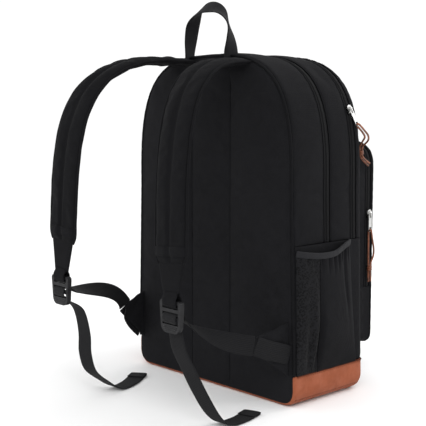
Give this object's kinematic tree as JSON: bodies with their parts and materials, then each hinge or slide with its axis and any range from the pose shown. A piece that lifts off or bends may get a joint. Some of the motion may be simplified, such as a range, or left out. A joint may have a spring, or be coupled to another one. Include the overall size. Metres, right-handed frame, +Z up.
{
  "type": "school backpack",
  "caption": "Soft school backpack with padded back panel and shoulder straps, zipped compartments and front pocket, mesh side pockets, leather base and haul loop.",
  "frame": {"origin": "centre of the underside of the base, where the bag stands", "axes": "+Z up, +Y out of the padded back panel, +X towards the wearer's right, so the front pocket faces -Y"},
  "size_m": [0.3394, 0.3798, 0.518],
  "materials": {
    "panel_fabric": "plain-woven polyester, matte near-black",
    "gusset_fabric": "plain-woven polyester, matte near-black",
    "zip_tape": "woven tape with a nylon coil",
    "foam": "closed-cell foam",
    "lining": "thin woven lining",
    "piping": "fabric-covered piping",
    "leather": "suede-like tan leather, mottled",
    "mesh": "knitted mesh",
    "elastic": "ribbed elastic binding",
    "strap_fabric": "plain-woven polyester over foam",
    "webbing": "ribbed polypropylene webbing",
    "buckle_plastic": "moulded acetal",
    "zip_metal": "polished nickel plate",
    "lace_leather": "round waxed leather lace"
  },
  "bodies": {
    "bag": {"back_panel": "panel_fabric", "back_foam": "foam", "back_lining": "lining", "seam_piping": "piping", "back_gusset": "gusset_fabric", "main_zip": "zip_tape", "middle_gusset": "gusset_fabric", "front_zip": "zip_tape", "front_gusset": "gusset_fabric", "front_panel": "panel_fabric", "side_panel_left": "gusset_fabric", "side_panel_right": "gusset_fabric", "base_panel": "leather", "compartment_divider": "lining", "laptop_sleeve": "lining", "pocket_panel": "panel_fabric", "pocket_gusset": "gusset_fabric", "pocket_zip": "zip_tape", "side_pocket_left": "mesh", "side_pocket_right": "mesh", "pocket_binding_left": "elastic", "pocket_binding_right": "elastic", "strap_wing_left": "strap_fabric", "strap_wing_right": "strap_fabric", "strap_root_left": "strap_fabric", "strap_root_right": "strap_fabric", "haul_loop_feet": "webbing"},
    "haul_loop": {"haul_loop": "webbing"},
    "strap_left": {"strap_pad_left": "strap_fabric", "strap_taper_left": "strap_fabric", "lower_webbing_left": "webbing"},
    "strap_right": {"strap_pad_right": "strap_fabric", "strap_taper_right": "strap_fabric", "lower_webbing_right": "webbing"},
    "buckle_left": {"buckle_left": "buckle_plastic"},
    "buckle_right": {"buckle_right": "buckle_plastic"},
    "tail_left": {"webbing_tail_left": "webbing"},
    "tail_right": {"webbing_tail_right": "webbing"},
    "main_slider": {"main_slider": "zip_metal"},
    "front_slider": {"front_slider": "zip_metal"},
    "pocket_slider": {"pocket_slider": "zip_metal"},
    "main_pull": {"main_pull_tab": "zip_metal", "main_lace": "lace_leather"},
    "front_pull": {"front_pull_tab": "zip_metal", "front_lace": "lace_leather"},
    "pocket_pull": {"pocket_pull_tab": "zip_metal", "pocket_lace": "lace_leather"}
  },
  "joints": [
    {"name": "haul_loop_swing", "type": "hinge", "parent": "bag", "child": "haul_loop", "pos_m": [0, 0.068, 0.463], "axis": [1, 0, 0], "range_deg": [-75, 75]},
    {"name": "strap_left_swing", "type": "hinge", "parent": "bag", "child": "strap_left", "pos_m": [-0.0551, 0.1045, 0.4359], "axis": [0.2328, -0.0502, 0.9712], "range_deg": [-12, 50]},
    {"name": "strap_right_swing", "type": "hinge", "parent": "bag", "child": "strap_right", "pos_m": [0.05393, 0.10482, 0.44205], "axis": [0.2414, 0.0103, -0.9704], "range_deg": [-12, 50]},
    {"name": "buckle_left_tilt", "type": "hinge", "parent": "strap_left", "child": "buckle_left", "pos_m": [-0.102, 0.224, 0.1515], "axis": [1, 0, 0], "range_deg": [-10, 25]},
    {"name": "tail_left_hang", "type": "hinge", "parent": "buckle_left", "child": "tail_left", "pos_m": [-0.102, 0.223, 0.113], "axis": [1, 0, 0], "range_deg": [-25, 10]},
    {"name": "buckle_right_tilt", "type": "hinge", "parent": "strap_right", "child": "buckle_right", "pos_m": [0.101, 0.243, 0.1575], "axis": [1, 0, 0], "range_deg": [-10, 25]},
    {"name": "tail_right_hang", "type": "hinge", "parent": "buckle_right", "child": "tail_right", "pos_m": [0.101, 0.233, 0.119], "axis": [1, 0, 0], "range_deg": [-25, 10]},
    {"name": "main_zip_slide", "type": "slide", "parent": "bag", "child": "main_slider", "axis": [0.1564, 0, -0.9877], "range_m": [0, 0.04]},
    {"name": "front_zip_slide", "type": "slide", "parent": "bag", "child": "front_slider", "axis": [-0.309, 0, -0.9511], "range_m": [-0.012, 0.025]},
    {"name": "pocket_zip_slide", "type": "slide", "parent": "bag", "child": "pocket_slider", "axis": [0, 0, -1], "range_m": [-0.05, 0.09]},
    {"name": "main_pull_flip", "type": "hinge", "parent": "main_slider", "child": "main_pull", "pos_m": [0.15015, 0.003, 0.35066], "axis": [0, -1, 0], "range_deg": [0, 120]},
    {"name": "front_pull_flip", "type": "hinge", "parent": "front_slider", "child": "front_pull", "pos_m": [-0.14359, -0.05, 0.3783], "axis": [-0.0852, 0.9613, -0.2621], "range_deg": [0, 110]},
    {"name": "pocket_pull_flip", "type": "hinge", "parent": "pocket_slider", "child": "pocket_pull", "pos_m": [-0.1262, -0.118, 0.233], "axis": [0, 1, 0], "range_deg": [0, 120]}
  ],
  "couplings": [
    {"joint": "tail_left_hang", "follows": "buckle_left_tilt", "ratio": -1},
    {"joint": "tail_right_hang", "follows": "buckle_right_tilt", "ratio": -1}
  ]
}
